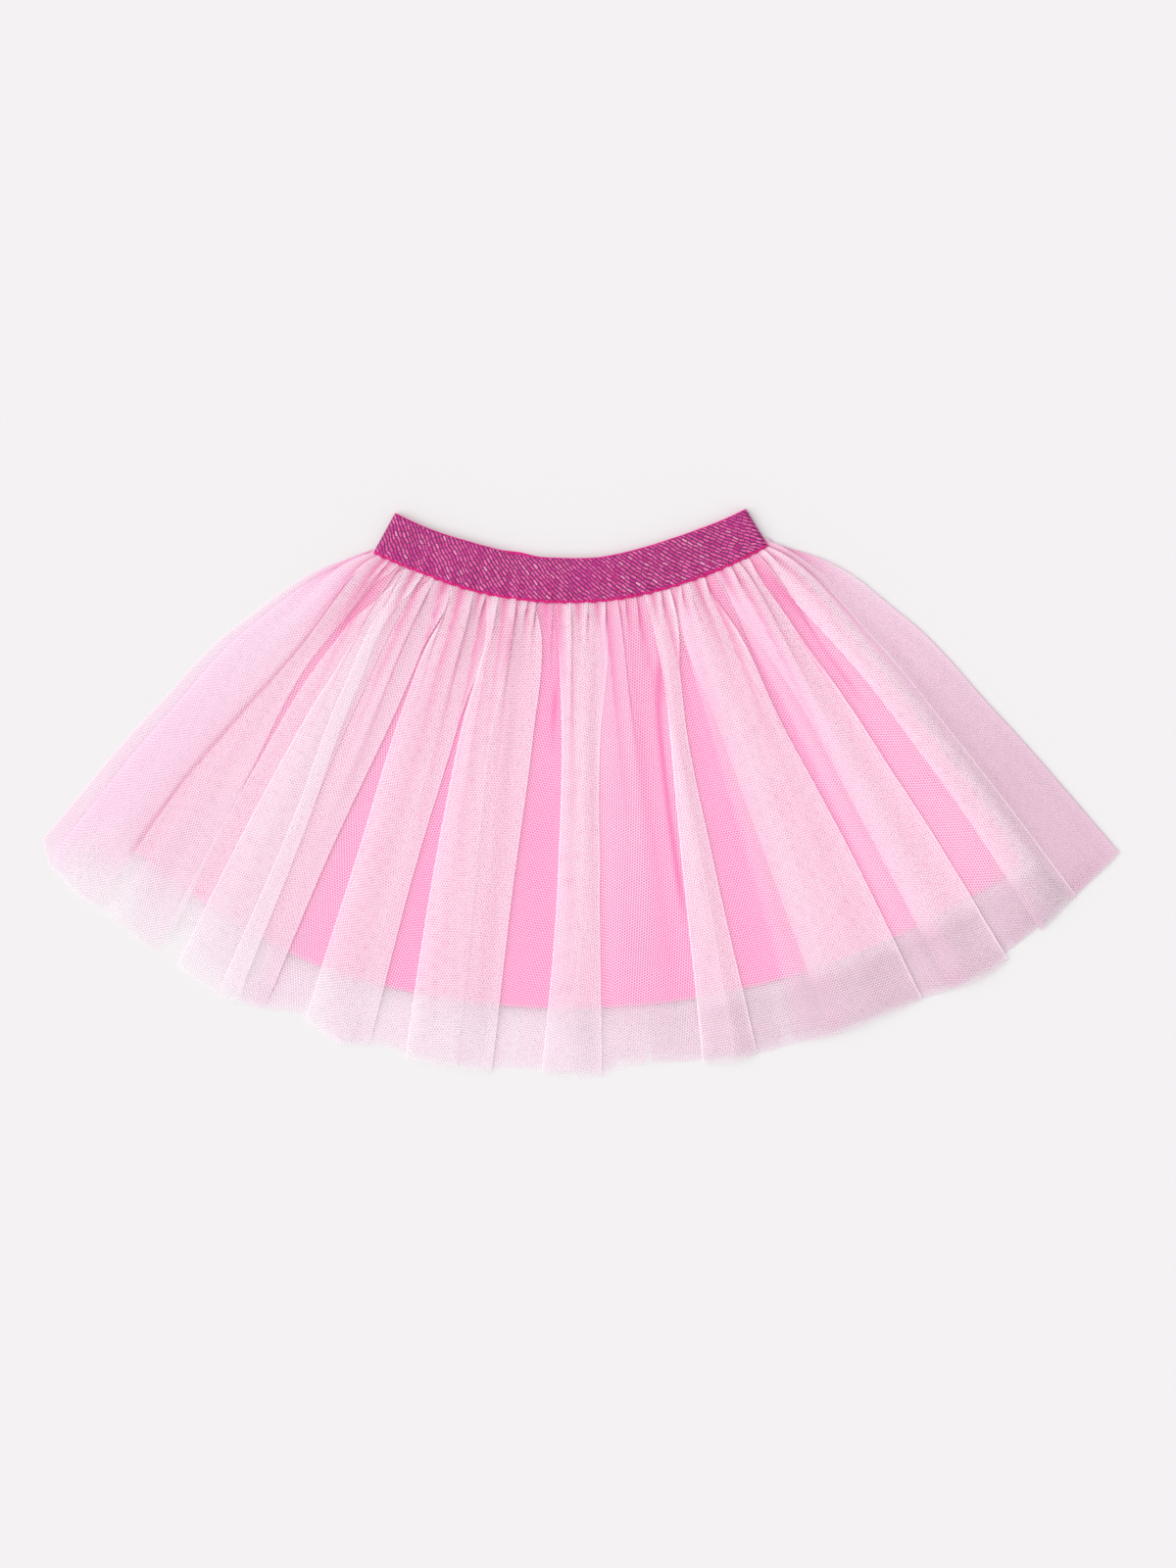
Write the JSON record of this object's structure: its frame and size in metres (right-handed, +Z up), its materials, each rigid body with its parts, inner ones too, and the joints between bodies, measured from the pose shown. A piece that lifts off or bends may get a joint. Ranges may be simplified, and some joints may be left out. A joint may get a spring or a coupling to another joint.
{
  "type": "tulle skirt",
  "caption": "Child's gathered tulle skirt laid flat, with a wide glitter elastic waistband and a shorter satin lining under a loose net layer.",
  "frame": {"origin": "centre of the skirt's footprint on the surface that it lies on", "axes": "+X across the skirt, +Y towards the waistband, +Z up from the surface through the cloth"},
  "size_m": [0.6159, 0.327, 0.0101],
  "materials": {
    "glitter_elastic": "woven elastic with metallic glitter thread, hot pink overlocked lower edge",
    "net": "soft pale pink hexagonal net, translucent, raw cut hem",
    "satin_lining": "smooth satin-faced knit, saturated pink, soft sheen"
  },
  "bodies": {
    "root": {"waistband": "glitter_elastic", "tulle_front": "net", "tulle_back": "net", "lining_front": "satin_lining", "lining_back": "satin_lining"}
  },
  "joints": []
}
